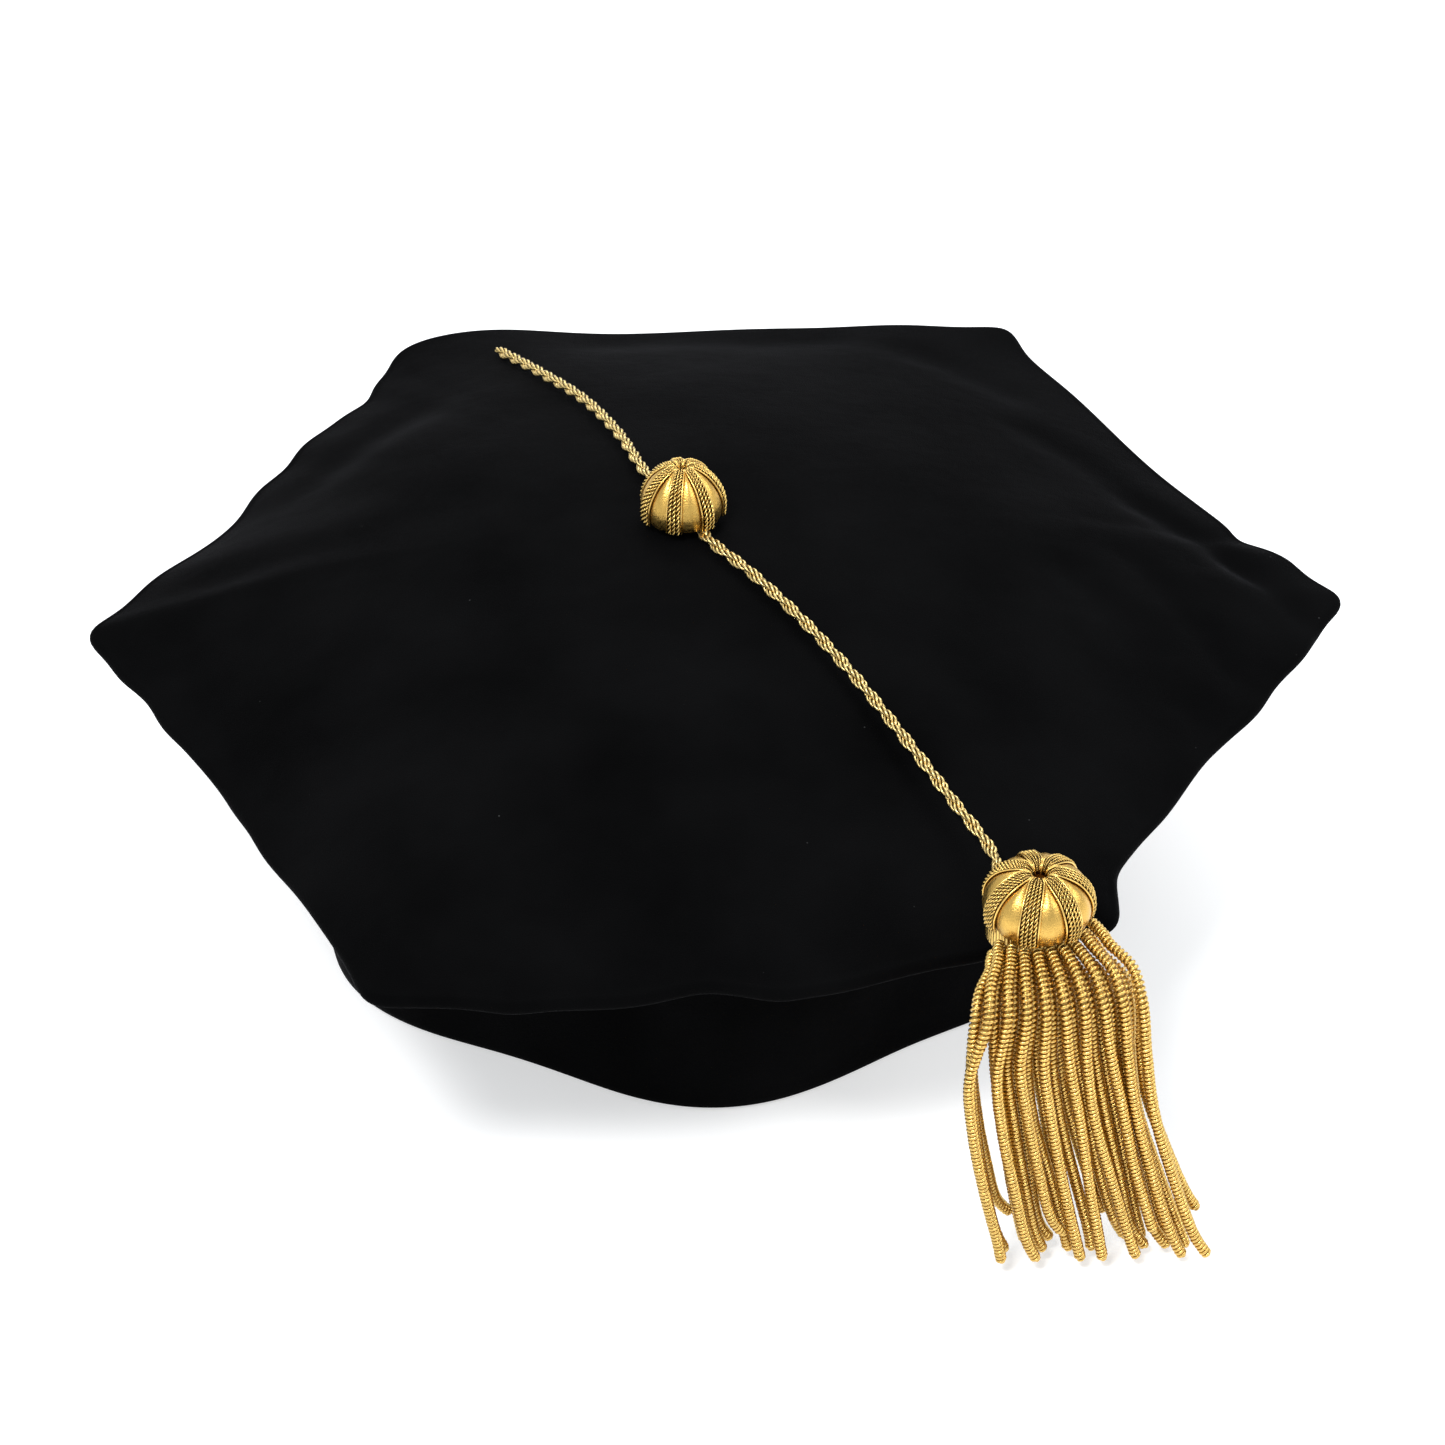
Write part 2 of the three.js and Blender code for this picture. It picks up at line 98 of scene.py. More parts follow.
# The cord is two plies of three strands each; a bullion strand is a coiled wire round a core.
CORD_DIAMETER, STRAND_DIAMETER = 2.8, 2.6
PLY_OFFSET, SUBPLY_OFFSET, SUBPLY_RADIUS = 0.66, 0.5, 0.37
COIL_OFFSET, COIL_WIRE, COIL_FLATTEN = 0.86, 0.5, 0.86
PLY_PITCH, SUBPLY_PITCH, COIL_PITCH = 14.2, 5.6, 1.14

# The fringe: its strands leave the heading level, bend down and hang.
COLUMNS, LAYERS = 9, 3
TASSEL_BEARING, FAN_BEARING = math.radians(-63), math.radians(-80)
HEADING_RADIUS, HEADING_BACK = 9, 3.5
BEND_OUT, BEND_HEIGHT, BEND_RADIUS = 10, 70.5, 8.8
STRAND_PITCH, SPREAD, LAYER_STEP, LAYER_SHIFT = 2.95, 1.58, 2.4, (0, -1.3, 0.3)
COLUMN_NUDGE = (0, 0.4, -0.9, -0.6, 0, 0, 0, 0, 0)  # the strands on the left hang less evenly
TIP_PITCH, TIP_ASIDE, TIP_OUT = 5.4, 13.3, 11.5  # tip to tip, and where the fan's middle ends
SHORTER = 8  # by how much every fourth strand or so is shorter than the rest

# The cord's route over the crown: x, y and height above the dome, from its free end to the cap.
CORD_ROUTE = [
    (-54, 120.5, 2), (-43, 97, 2), (-31.5, 71, 2), (-23, 45.5, 2), (-16.8, 22, 2),
    (-11.5, 10.8, 1.8), (-6.1, 2.8, 1.8), (-3.4, -8.5, 1.8), (6.8, -24, 2), (18, -41.5, 2),
    (28.5, -59.5, 2), (38.7, -78.5, 2), (48.3, -96.8, 2.1), (55.7, -111.5, 2.7),
]
CORD_END_DISTANCE, CORD_END_HEIGHT = 144.8, 84.3  # just inside the back of the fringe heading

CAMERA_AZIMUTH, CAMERA_ELEVATION, CAMERA_ROLL = -2.62, 34.89, -0.21  # degrees
CAMERA_TARGET, CAMERA_DISTANCE = Vector((-0.00132, -0.04536, 0.075)), 0.95105  # metres
LENS, SENSOR_WIDTH = 99.65, 36


# ---------------------------------------------------------------- camera

def make_camera():
    azimuth, elevation = math.radians(CAMERA_AZIMUTH), math.radians(CAMERA_ELEVATION)
    back = Vector((
        math.sin(azimuth) * math.cos(elevation),
        -math.cos(azimuth) * math.cos(elevation),
        math.sin(elevation),
    ))
    camera = bpy.data.objects.new("camera", bpy.data.cameras.new("camera"))
    bpy.context.scene.collection.objects.link(camera)
    camera.data.lens = LENS
    camera.data.sensor_width = SENSOR_WIDTH
    camera.location = CAMERA_TARGET + back * CAMERA_DISTANCE
    camera.rotation_mode = "QUATERNION"
    towards = (-back).to_track_quat("-Z", "Y")
    camera.rotation_quaternion = towards @ Quaternion((0, 0, 1), math.radians(CAMERA_ROLL))
    bpy.context.scene.camera = camera


# ---------------------------------------------------------------- lines and meshes

def unit(vectors):
    return vectors / np.maximum(np.linalg.norm(vectors, axis=-1, keepdims=True), 1e-12)


def smooth_steps(value, low, high):
    t = np.clip((value - low) / (high - low), 0, 1)
    return t * t * (3 - 2 * t)


def full_turn(count):
    """Even angles all the way round."""
    return np.arange(count) * 2 * np.pi / count


def curve_through(points, steps=24):
    """A centripetal Catmull-Rom curve through the points, with even steps between each two."""
    points = np.array(points, float)
    ends = [2 * points[0] - points[1], 2 * points[-1] - points[-2]]
    padded = np.vstack([ends[0], points, ends[1]])
    t = np.linspace(0, 1, steps, endpoint=False)[:, None]
    pieces = []
    for i in range(1, len(padded) - 2):
        a, b, c, d = padded[i - 1:i + 3]
        ab, bc, cd = (math.sqrt(np.linalg.norm(q - p)) for p, q in ((a, b), (b, c), (c, d)))
        leaving = ((b - a) / ab - (c - a) / (ab + bc) + (c - b) / bc) * bc
        arriving = ((c - b) / bc - (d - b) / (bc + cd) + (d - c) / cd) * bc
        pieces.append(
            (2 * t**3 - 3 * t**2 + 1) * b + (t**3 - 2 * t**2 + t) * leaving
            + (3 * t**2 - 2 * t**3) * c + (t**3 - t**2) * arriving
        )
    return np.vstack([*pieces, points[-1:]])


def along(line):
    """The distance along a line at each of its points."""
    return np.concatenate([[0], np.cumsum(np.linalg.norm(np.diff(line, axis=0), axis=1))])


def at_distances(line, distances):
    whole = along(line)
    return np.stack([np.interp(distances, whole, line[:, k]) for k in range(line.shape[1])], 1)


def evenly(line, spacing):
    whole = along(line)[-1]
    return at_distances(line, np.linspace(0, whole, max(3, int(round(whole / spacing)) + 1)))


def carried_frames(line):
    """Two normals at each point of a line, carried along it without twisting."""
    tangents = unit(np.gradient(line, axis=0))
    normal = np.cross(tangents[0], (0.3, 0.2, 1.0))
    normals = []
    for tangent in tangents:
        normal = normal - tangent * normal.dot(tangent)
        normal = normal / np.linalg.norm(normal)
        normals.append(normal)
    normals = np.array(normals)
    return normals, np.cross(tangents, normals)


class Surface:
    """Gathers grids of points into one mesh, in millimetres, with a depth value at each point for painted
    shade.
    """

    def __init__(self):
        self.points, self.quads, self.triangles, self.painted_shades = [], [], [], []
        self.count = 0

    def grid(self, points, wrap_rows=False, wrap_columns=False, capped=False, depth=None):
        rows, columns = points.shape[:2]
        row = np.arange(rows if wrap_rows else rows - 1)[:, None]
        column = np.arange(columns if wrap_columns else columns - 1)[None, :]
        next_row, next_column = (row + 1) % rows, (column + 1) % columns
        corners = [row * columns + column, row * columns + next_column,
                   next_row * columns + next_column, next_row * columns + column]
        quads = np.stack([np.broadcast_to(c, (row.size, column.size)) for c in corners], -1)
        quads = quads.reshape(-1, 4)
        flat = points.reshape(-1, 3)
        # depth is painted shade: 1 leaves the gold at its bright colour, lower values darken it.
        painted_shades = np.ones(len(flat)) if depth is None else np.broadcast_to(depth, (rows, columns)).ravel()
        triangles = np.zeros((0, 3), int)
        if capped:
            first, last = len(flat), len(flat) + 1
            ring = np.arange(columns)
            after = (ring + 1) % columns
            end = (rows - 1) * columns
            flat = np.vstack([flat, points[0].mean(0), points[-1].mean(0)])
            painted_shades = np.concatenate([painted_shades, [painted_shades[0], painted_shades[-1]]])
            triangles = np.vstack([
                np.stack([np.full(columns, first), after, ring], 1),
                np.stack([np.full(columns, last), end + ring, end + after], 1),
            ])
        self.add(flat, quads, triangles, painted_shades)

    def add(self, flat, quads, triangles, painted_shades):
        halves = np.vstack([quads[:, :3], quads[:, [0, 2, 3]], triangles])
        a, b, c = (flat[halves[:, k]] for k in range(3))
        if (a * np.cross(b, c)).sum() < 0:
            quads, triangles = quads[:, ::-1], triangles[:, ::-1]
        self.points.append(flat)
        self.quads.append(quads + self.count)
        self.triangles.append(triangles + self.count)
        self.painted_shades.append(painted_shades)
        self.count += len(flat)

    def shell(self, outer, thickness, wrap_columns=False, depth=None):
        """A closed sheet of cloth: the outer grid, and the same again a thickness behind it."""
        rows, columns = outer.shape[:2]
        inner = outer - thickness * grid_normals(outer, wrap_columns)
        loop = np.concatenate([outer, inner[::-1]])
        if wrap_columns:
            self.grid(loop, wrap_rows=True, wrap_columns=True, depth=depth)
            return
        flat = loop.reshape(-1, 3)
        row = np.arange(2 * rows)[:, None]
        column = np.arange(columns - 1)[None, :]
        after = (row + 1) % (2 * rows)
        corners = [row * columns + column, row * columns + column + 1,
                   after * columns + column + 1, after * columns + column]
        quads = [np.stack(np.broadcast_arrays(*corners), -1).reshape(-1, 4)]
        step = np.arange(rows - 1)
        for side, order in ((0, (0, 1, 2, 3)), (columns - 1, (3, 2, 1, 0))):
            end = [step * columns + side, (step + 1) * columns + side,
                   (2 * rows - 2 - step) * columns + side, (2 * rows - 1 - step) * columns + side]
            quads.append(np.stack([end[k] for k in order], 1))
        painted_shades = np.full(len(flat), 1.0 if depth is None else depth)
        self.add(flat, np.vstack(quads), np.zeros((0, 3), int), painted_shades)

    def piece(self, name, body, material, replaced=()):
        points = np.vstack(self.points) * MM
        quads, triangles = np.vstack(self.quads), np.vstack(self.triangles)
        mesh = bpy.data.meshes.new(name)
        mesh.vertices.add(len(points))
        mesh.vertices.foreach_set("co", points.ravel())
        mesh.loops.add(quads.size + triangles.size)
        mesh.loops.foreach_set("vertex_index", np.concatenate([quads.ravel(), triangles.ravel()]))
        mesh.polygons.add(len(quads) + len(triangles))
        starts = np.concatenate([
            np.arange(len(quads)) * 4, quads.size + np.arange(len(triangles)) * 3,
        ])
        mesh.polygons.foreach_set("loop_start", starts)
        mesh.update(calc_edges=True)
        mesh.validate()
        mesh.polygons.foreach_set("use_smooth", np.ones(len(mesh.polygons), bool))
        # The depth attribute is painted shade that the gold materials read: low values darken the base
        # colour.
        depth = mesh.attributes.new("depth", "FLOAT", "POINT")
        depth.data.foreach_set("value", np.concatenate(self.painted_shades).astype(np.float32))
        mesh.materials.append(material)
        made = bpy.data.objects.new(name, mesh)
        bpy.context.scene.collection.objects.link(made)
        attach(made, body)
        if replaced:
            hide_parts(*replaced)
        return made


def grid_normals(points, wrap_columns):
    """Normals of a grid of points, pointing to the side that its rows and columns turn to."""
    if wrap_columns:
        padded = np.concatenate([points[:, -1:], points, points[:, :1]], 1)
        across = (padded[:, 2:] - padded[:, :-2]) / 2
    else:
        across = np.gradient(points, axis=1)
    return unit(np.cross(np.gradient(points, axis=0), across))


def helix(line, offset, pitch, phase):
    """The middle line of a ply that is wound round a line; a negative pitch winds it left-handed."""
    side, other = carried_frames(line)
    angle = 2 * np.pi * along(line) / pitch + phase
    return line + offset * (np.cos(angle)[:, None] * side + np.sin(angle)[:, None] * other)


def rounded(left, room):
    """The share of its thickness that a line has, with so much left to an end rounded over room."""
    return np.sqrt(np.clip(1 - (1 - np.clip(left / room, 0, 1)) ** 2, 0.0004, 1))


def wind(surface, line, offset, radius, pitch, phase, sides, per_turn, start_tip, tip, size=(1, 1),
         flatten=1.0, rough=None):
    """A strand wound round a line at an offset: a ply of a rope, or the wire of a coil.
    size scales offset, radius and pitch along the line, and start_tip and tip round off the ends."""
    whole = along(line)[-1]
    distances = np.linspace(0, whole, 400)
    scale = np.interp(distances, np.linspace(0, whole, len(size)), size)
    turned = np.concatenate([[0], np.cumsum(np.diff(distances) / (pitch * scale[1:]))])
    count = max(8, int(turned[-1] * per_turn))
    turns = np.linspace(0, turned[-1], count)
    distance = np.interp(turns, turned, distances)
    scale = np.interp(distance, distances, scale)
    fine = evenly(line, min(0.6, whole / 40))
    reach = along(fine)
    centre = at_distances(fine, distance)
    side, other = (
        np.stack([np.interp(distance, reach, normals[:, k]) for k in range(3)], 1)
        for normals in carried_frames(fine)
    )
    angle = 2 * np.pi * turns + phase
    outward = unit(np.cos(angle)[:, None] * side + np.sin(angle)[:, None] * other)
    ending = rounded(whole - distance, tip) * rounded(distance, start_tip)
    axis = centre + (offset * scale * ending)[:, None] * outward
    forward = unit(np.gradient(axis, axis=0))
    across = unit(np.cross(forward, outward))
    outward = np.cross(across, forward)
    around = full_turn(sides)
    swell = np.ones((count, sides))
    if rough is not None:
        swell = 1 + rough.uniform(-0.08, 0.08, (count, 1)) + rough.uniform(-0.06, 0.06, (count, sides))
    reach = (radius * scale * ending)[:, None] * swell
    points = (
        axis[:, None] + (reach * np.cos(around))[..., None] * outward[:, None]
        + (reach * np.sin(around) * flatten)[..., None] * across[:, None]
    )
    # Painted shade: the side of the wire that faces the line it winds round gets a lower depth, so the
    # gold is darker there.
    depth = np.clip(0.5 + 0.6 * np.cos(around), 0, 1)
    surface.grid(points, wrap_columns=True, capped=True, depth=depth)


def tube(surface, line, radius, sides, tip, depth=1.0):
    """A round cord along a line, with both ends rounded over tip, and depth for its painted shade."""
    whole = along(line)
    side, other = carried_frames(line)
    around = full_turn(sides)
    reach = (radius * rounded(whole, tip) * rounded(whole[-1] - whole, tip))[:, None, None]
    points = line[:, None] + reach * (
        np.cos(around)[None, :, None] * side[:, None] + np.sin(around)[None, :, None] * other[:, None]
    )
    surface.grid(points, wrap_columns=True, capped=True, depth=np.full((len(line), sides), depth))


# ---------------------------------------------------------------- materials

def material(name, color, roughness, **sockets):
    made = bpy.data.materials.new(name)
    made.use_nodes = True
    shader = made.node_tree.nodes["Principled BSDF"]
    shader.inputs["Base Color"].default_value = (*color, 1)
    shader.inputs["Roughness"].default_value = roughness
    for socket, value in sockets.items():
        shader.inputs[socket.replace("_", " ")].default_value = value
    return made


def node(made, kind, inputs=(), **settings):
    """Adds a node. inputs gives each socket a value or another node's output."""
    added = made.node_tree.nodes.new("ShaderNode" + kind)
    for name, value in settings.items():
        setattr(added, name, value)
    for socket, value in dict(inputs).items():
        if isinstance(value, bpy.types.NodeSocket):
            made.node_tree.links.new(value, added.inputs[socket])
        else:
            added.inputs[socket].default_value = value
    return added


def to_shader(made, socket, output):
    made.node_tree.links.new(output, made.node_tree.nodes["Principled BSDF"].inputs[socket])


def place_of(made):
    return node(made, "TexCoord").outputs["Object"]


def noise(made, scale, detail):
    inputs = {"Vector": place_of(made), "Scale": scale, "Detail": detail}
    return node(made, "TexNoise", inputs).outputs["Fac"]


def ramp(made, value, stops):
    made_ramp = node(made, "ValToRGB", {"Fac": value})
    elements = made_ramp.color_ramp.elements
    while len(elements) < len(stops):
        elements.new(0.5)
    for element, (position, color) in zip(elements, stops):
        element.position = position
        element.color = (*color, 1)
    return made_ramp.outputs["Color"]


def bump(made, height, distance, strength, normal=None):
    inputs = {"Height": height, "Distance": distance, "Strength": strength}
    if normal is not None:
        inputs["Normal"] = normal
    return node(made, "Bump", inputs).outputs["Normal"]


def math_node(made, operation, first, second):
    return node(made, "Math", {0: first, 1: second}, operation=operation).outputs[0]


def velvet_material():
    """Black pile with a faint sheen, slightly clouded, with a few specks of lint."""
    made = material("velvet", (0.003, 0.003, 0.003), 0.9, Sheen_Weight=0.32, Sheen_Roughness=0.22,
                    Sheen_Tint=(0.1, 0.1, 0.112, 1), Specular_IOR_Level=0.02)
    nap = noise(made, 22, 4)
    color = ramp(made, nap, [(0.35, (0.001, 0.001, 0.0011)), (0.7, (0.0027, 0.0027, 0.0029))])
    specks = node(made, "TexVoronoi", {"Vector": place_of(made), "Scale": 90.0}).outputs["Distance"]
    speck = ramp(made, specks, [(0.0, (0.05, 0.05, 0.05)), (0.022, (0.0, 0.0, 0.0))])
    mixed = node(made, "MixRGB", {"Fac": 1.0, "Color1": color, "Color2": speck}, blend_type="ADD")
    to_shader(made, "Base Color", mixed.outputs["Color"])
    pile = bump(made, noise(made, 2600, 2), 0.0003, 0.5)
    crush = bump(made, noise(made, 70, 3), 0.0012, 0.35, pile)
    to_shader(made, "Normal", crush)
    return made


def gold_material(name, deep, bright, roughness, grain, grain_depth):
    """Metal thread or satin, with painted shade: darker in the hollows that the mesh's depth attribute
    gives.
    """
    made = material(name, bright, roughness, Metallic=1.0)
    # Painted shade: the depth attribute, plus a little random tone from the noise, darkens the base
    # colour from bright towards deep.
    depth = node(made, "Attribute", attribute_name="depth").outputs["Fac"]
    patches = noise(made, 900, 2)
    shade = math_node(made, "ADD", depth, math_node(made, "MULTIPLY", patches, 0.3))
    between = tuple(0.5 * (a + b) for a, b in zip(deep, bright))
    color = ramp(made, shade, [(0.15, deep), (0.62, between), (1.0, bright)])
    to_shader(made, "Base Color", color)
    fine = noise(made, grain, 3)
    worn = node(made, "MapRange", {
        "Value": fine, "From Min": 0.3, "From Max": 0.7,
        "To Min": roughness - 0.12, "To Max": roughness + 0.14,
    })
    to_shader(made, "Roughness", worn.outputs["Result"])
    to_shader(made, "Normal", bump(made, fine, grain_depth, 0.6))
    return made


def cloth_material(name, dark, light, roughness, threads, depth, **sockets):
    """A weave: sets of threads that cross, by wave textures along the three axes."""
    made = material(name, light, roughness, **sockets)
    waves = []
    for direction in ("X", "Y", "Z"):
        inputs = {"Vector": place_of(made), "Scale": threads, "Distortion": 0.4, "Detail": 1.0}
        waves.append(node(made, "TexWave", inputs, bands_direction=direction).outputs["Fac"])
    height = math_node(made, "ADD", math_node(made, "MULTIPLY", waves[0], waves[1]), waves[2])
    shade = math_node(made, "MULTIPLY", height, 0.5)
    cloud = math_node(made, "ADD", shade, math_node(made, "MULTIPLY", noise(made, 35, 3), 0.5))
    to_shader(made, "Base Color", ramp(made, cloud, [(0.2, dark), (0.9, light)]))
    to_shader(made, "Normal", bump(made, height, depth, 0.5))
    return made


def leather_material():
    made = material("sweatband_leather", (0.012, 0.010, 0.009), 0.55, Specular_IOR_Level=0.4)
    cells = node(made, "TexVoronoi", {"Vector": place_of(made), "Scale": 900.0}).outputs["Distance"]
    wear = noise(made, 60, 4)
    color = ramp(made, wear, [(0.3, (0.008, 0.007, 0.006)), (0.8, (0.028, 0.022, 0.018))])
    to_shader(made, "Base Color", color)
    to_shader(made, "Normal", bump(made, cells, 0.0002, 0.5))
    return made


def paint(node_names, made):
    """Gives CAD nodes that show as they are their material."""
    for name in node_names:
        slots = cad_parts[name].data.materials
        slots.clear()
        slots.append(made)


# ---------------------------------------------------------------- crown

def rim(turns):
    """The edge seam of the crown, at places given as corner number plus share to the next."""
    side = np.floor(turns).astype(int) % 6
    share = turns - np.floor(turns)
    points = CORNERS[side] + (CORNERS[(side + 1) % 6] - CORNERS[side]) * share[:, None]
    middle = 4 * share * (1 - share)
    outwards = (side + 0.5) * np.pi / 3
    points[:, 0] += EDGE_BOW[side] * middle * np.cos(outwards)
    points[:, 1] += EDGE_BOW[side] * middle * np.sin(outwards)
    points[:, 2] -= EDGE_SAG[side] * middle
    return points


def soft_rim(count):
    """The edge with its corners rounded and its dents and swells, at count even turns."""
    turns = np.arange(count) * 6 / count
    points = rim(turns)
    near = np.abs((turns[:, None] - np.arange(6)[None, :] + 3) % 6 - 3)
    pull = (np.exp(-(near / 0.05) ** 2) * CORNER_REACH) @ unit(CORNERS[:, :2] - BUTTON)
    points[:, :2] += pull
    rounds = 400
    softness = (9 + 60 * np.exp(-(near[:, 2] / 0.3) ** 2)) / rounds  # most at the back left corner
    for _ in range(rounds):
        middle = (np.roll(points, 1, 0) + np.roll(points, -1, 0)) / 2
        points = points + softness[:, None] * (middle - points)
    forward = unit(np.roll(points, -1, 0) - np.roll(points, 1, 0))
    outward = unit(np.cross(forward, UP))
    points = points + 0.5 * outward
    for place, width, out, up in EDGE_SWELLS:
        share = np.exp(-(((turns - place + 3) % 6 - 3) / width) ** 2)[:, None]
        points = points + share * (out * outward + up * UP)
    return turns, points, outward


RIM_TURNS, RIM, RIM_OUTWARD = soft_rim(RIM_COUNT)


def dome_height(distance):
    """The height of the crown's dome at a distance from the button's axis."""
    rise = np.maximum(0, 1 - (distance / DOME_REACH) ** 2) ** DOME_POWER
    return DOME_FOOT + (CROWN_TOP - DOME_FOOT) * rise


# Folds in the crown: the two ends of each, its half width and its depth.
FOLDS = [
    (87, 69, 112, 38, 7, 0.9), (112, 38, 131, 15.5, 6, 1.3), (131, 15.5, 143, -2, 5, 1.6),
    (88, -7.5, 108, -43, 6, 1.5), (104, 4, 122, -28, 5, 1.2), (33, -48, 50, -123, 7, 0.9),
    (-125, -31, -113, -55, 7, 1.7), (-113, -55, -99, -84, 6, 1.5), (-134, -6, -118, -46, 5, 1.2),
    (-118, 15, -91, 16, 9, 1.2), (-75, -48, -45, -54, 11, 0.9), (-100, 60, -80, 84, 8, 1.3),
    (-20, 128, 30, 127, 9, 0.9), (60, 118, 80, 100, 8, 1.0), (-30, -120, -12, -134, 7, 1.3),
    (10, -118, 6, -136, 6, 1.0), (-66, -118, -52, -138, 6, 1.1), (60, -100, 74, -80, 8, 1.0),
]


def fold_depth(x, y):
    """How deep the folds are at a place; a fold winds a little and fades out past its ends."""
    depth = np.zeros_like(x)
    for x0, y0, x1, y1, width, deep in FOLDS:
        length = math.hypot(x1 - x0, y1 - y0)
        forward = ((x1 - x0) / length, (y1 - y0) / length)
        at = (x - x0) * forward[0] + (y - y0) * forward[1]
        beyond = np.maximum(np.maximum(-at, at - length), 0)
        bent = 0.12 * width * np.sin(at / 9)
        aside = -(x - x0) * forward[1] + (y - y0) * forward[0] - bent
        depth += deep * np.exp(-(aside / width) ** 2) * np.exp(-(beyond / (1.6 * width)) ** 2)
    return depth


def undulation(x, y):
    """Slow swells of the cloth, a fraction of a millimetre high."""
    return (
        np.sin(x / 23 + 0.7) * np.cos(y / 19 + 0.3) + 0.6 * np.sin((x + y) / 13.5 + 2)
        + 0.4 * np.cos((x - 1.4 * y) / 9.5)
    ) / 2


def crown_rows(depth, shares):
    """Rows of points of the crown from the button outwards, depth below its outer face."""
    edge = RIM - EDGE_ROLL * RIM_OUTWARD
    edge_distance = np.linalg.norm(edge[:, :2] - BUTTON, axis=1)
    rows = []
    for share in shares:
        xy = BUTTON + (edge[:, :2] - BUTTON) * share
        distance = np.linalg.norm(xy - BUTTON, axis=1)
        drop = (dome_height(edge_distance) - edge[:, 2]) * share ** 4  # from the dome to the edge
        height = dome_height(distance) - drop - depth
        calm = smooth_steps(share, 0.12, 0.45)  # no folds near the button
        soft = fold_depth(xy[:, 0], xy[:, 1]) - 0.35 * undulation(xy[:, 0], xy[:, 1]) + 0.3
        rows.append(np.column_stack([xy, height - calm * soft]))
    return np.array(rows)


def crown_top():
    shares = np.concatenate([np.linspace(0.012, 0.88, 62), np.linspace(0.89, 1, 16)])
    rows = crown_rows(0, shares)
    centre = rows[-1] - EDGE_ROLL * UP
    rings = []
    for degrees in range(15, 166, 15):
        turn = math.radians(degrees)
        rings.append(centre + EDGE_ROLL * (RIM_OUTWARD * math.sin(turn) + UP * math.cos(turn)))
    surface = Surface()
    surface.shell(np.concatenate([rows, rings]), VELVET, wrap_columns=True)
    made = surface.piece("crown_velvet_top", "hat", velvet, ["crown_top"])


def crown_interfacing():
    shares = np.concatenate([[0.012], np.linspace(0.03, 0.9, 50)])
    surface = Surface()
    surface.shell(crown_rows(VELVET + LAYER_GAP, shares)[:, ::2], INTERFACING, wrap_columns=True)
    made = surface.piece("crown_buckram", "hat", buckram, ["crown_interfacing"])


def band_points(azimuth, inset, height):
    """Points round the headband, so far in from its outside, and so high."""
    radius = BAND_RADIUS + BAND_LOBE * np.cos(6 * (azimuth + np.pi / 2)) - inset
    xyz = BAND[0] + radius * np.cos(azimuth), BAND[1] + radius * np.sin(azimuth), height
    return np.stack(np.broadcast_arrays(*xyz), -1)


def at_turns(turns, values):
    """What the rim has, its points or its directions, at any turns."""
    known = np.append(RIM_TURNS, 6)
    return np.stack([np.interp(turns, known, np.append(values[:, k], values[0, k])) for k in range(3)], 1)


def side_rows(turns, shares, edge_drop, band_rise, sag):
    """Rows of points of the underside, from the crown's edge in to the headband."""
    edge = at_turns(turns, RIM) - 1.5 * at_turns(turns, RIM_OUTWARD) - edge_drop * UP
    inner = band_points(turns * np.pi / 3, -GAP - 0.1, BAND_HEIGHT - VELVET - GAP + band_rise)
    rows = []
    for share in shares:
        points = edge + (inner - edge) * share
        gather = 0.7 * share ** 2 * np.sin(turns * 60) * np.sin(np.pi * share) ** 0.5
        wave = 1.1 * np.sin(np.pi * share) * np.sin(turns * 9 + 4 * share)
        points[:, 2] -= sag * math.sin(math.pi * share) + gather + wave
        rows.append(points)
    return np.array(rows)


def signed_up(rows):
    """Positive where the grid's normals point up."""
    return float(grid_normals(rows, False)[..., 2].mean())


def crown_sides():
    for side, place in enumerate(SIDES):
        turns = side + np.linspace(0.004, 0.996, 90)
        rows = side_rows(turns, np.linspace(0.0, 1.0, 34), VELVET_EDGE_DROP, 0, 4.5)
        seam = 1.6 * np.exp(-((0.5 - np.abs(turns - side - 0.5)) / 0.018) ** 2)
        rows[:, :, 2] += seam
        surface = Surface()
        surface.shell(rows, VELVET if signed_up(rows) < 0 else -VELVET)
        made = surface.piece("velvet_side_" + place, "hat", velvet, ["crown_side_" + place])


def headband():
    # The section: how far in from the outside, and how high; both faces, with the hem turned in.
    outline = [
        (4.4, 14), (4.4, 8), (4.4, 3), (4.1, 1.3), (3.4, 0.35), (2.2, 0.05), (1.0, 0.35), (0.3, 1.3),
        (0, 3), (-0.5, 12), (-0.8, 25), (-0.5, 38), (0, 47), (0.3, 49.6), (0.9, 50.1), (1.5, 49.6),
        (1.4, 38), (1.2, 25), (1.25, 12), (1.4, 3), (1.8, 1.6), (2.4, 1.3), (3.0, 1.7), (3.2, 3),
        (3.2, 8), (3.2, 13.6), (3.8, 14.5), (4.4, 14),
    ]
    rows = evenly(np.array(outline, float), 1.6)[:-1]
    azimuth = full_turn(480)
    inset, height = rows[:, :1], rows[:, 1:]
    outer = smooth_steps(-inset, -2.0, -0.6)
    pucker = 0.5 * np.sin(azimuth * 17 + height / 9) * np.sin(azimuth * 5 + 1)
    fuller = 1.0 * np.exp(-((azimuth - math.radians(222)) / 0.35) ** 2)
    inset = inset + outer * (pucker * np.sin(np.pi * np.clip(height / 50, 0, 1)) - fuller)
    surface = Surface()
    surface.grid(band_points(azimuth, inset, height), wrap_rows=True, wrap_columns=True)
    made = surface.piece("headband_velvet_cover", "hat", velvet, ["headband_velvet"])


# ---------------------------------------------------------------- inside of the hat

